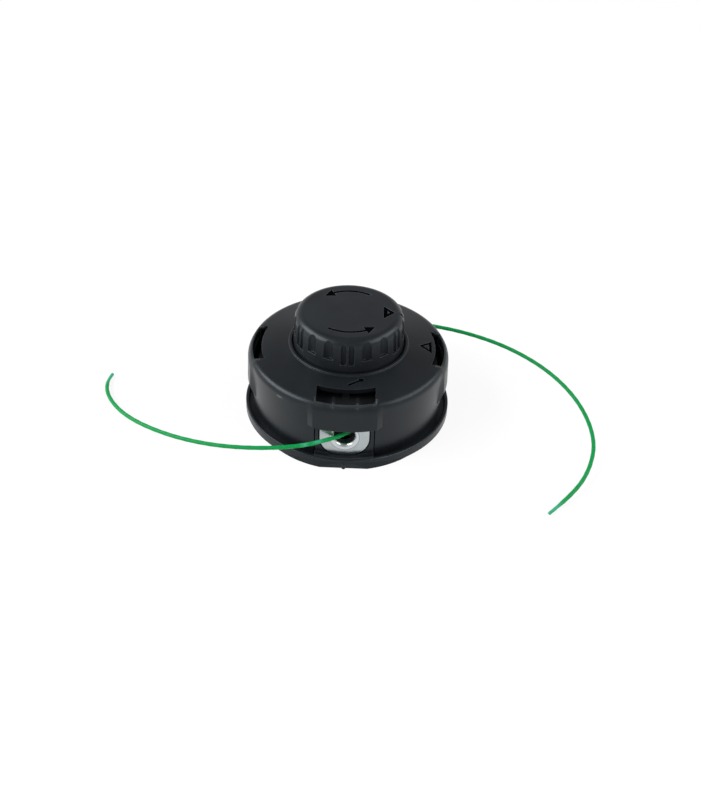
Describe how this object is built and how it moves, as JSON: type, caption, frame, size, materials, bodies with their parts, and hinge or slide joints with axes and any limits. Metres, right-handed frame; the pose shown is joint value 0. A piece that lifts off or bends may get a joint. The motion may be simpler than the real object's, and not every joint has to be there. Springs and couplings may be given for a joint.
{
  "type": "trimmer head",
  "caption": "Round bump-feed line trimmer head with a fluted bump knob, windowed cover, base flange, metal line eyelets and two loose ends of green cutting line.",
  "frame": {"origin": "middle of the base flange's underside, on the spin axis", "axes": "+Z along the spin axis towards the bump knob, front line outlet at -Y, latch windows at +X and -X"},
  "size_m": [0.2382, 0.1293, 0.0536],
  "materials": {
    "charcoal_nylon": "fine moulded charcoal nylon",
    "knob_nylon": "fine moulded charcoal nylon",
    "spool_nylon": "moulded black nylon",
    "bright_eyelet": "bright, smooth",
    "plated_steel": "zinc plated",
    "spring_steel": "drawn wire",
    "cutting_line": "twisted green nylon monofilament"
  },
  "bodies": {
    "housing": {"housing": "charcoal_nylon", "mounting_nut": "plated_steel", "eyelet_front": "bright_eyelet", "eyelet_rear": "bright_eyelet", "cover": "charcoal_nylon", "line_end_front": "cutting_line", "line_end_rear": "cutting_line"},
    "spring": {"spring": "spring_steel"},
    "spool": {"spool": "spool_nylon", "bump_knob": "knob_nylon", "line_winding_lower": "cutting_line", "line_winding_upper": "cutting_line"}
  },
  "joints": [
    {"name": "bump_slide", "type": "slide", "parent": "housing", "child": "spring", "axis": [0, 0, -1], "range_m": [0, 0.005], "stiffness_N_per_m": 1500, "springref_m": -0.008, "deforming": ["spring"]},
    {"name": "spool_spin", "type": "hinge", "parent": "spring", "child": "spool", "pos_m": [0, 0, 0.02], "axis": [0, 0, 1], "continuous": true}
  ]
}
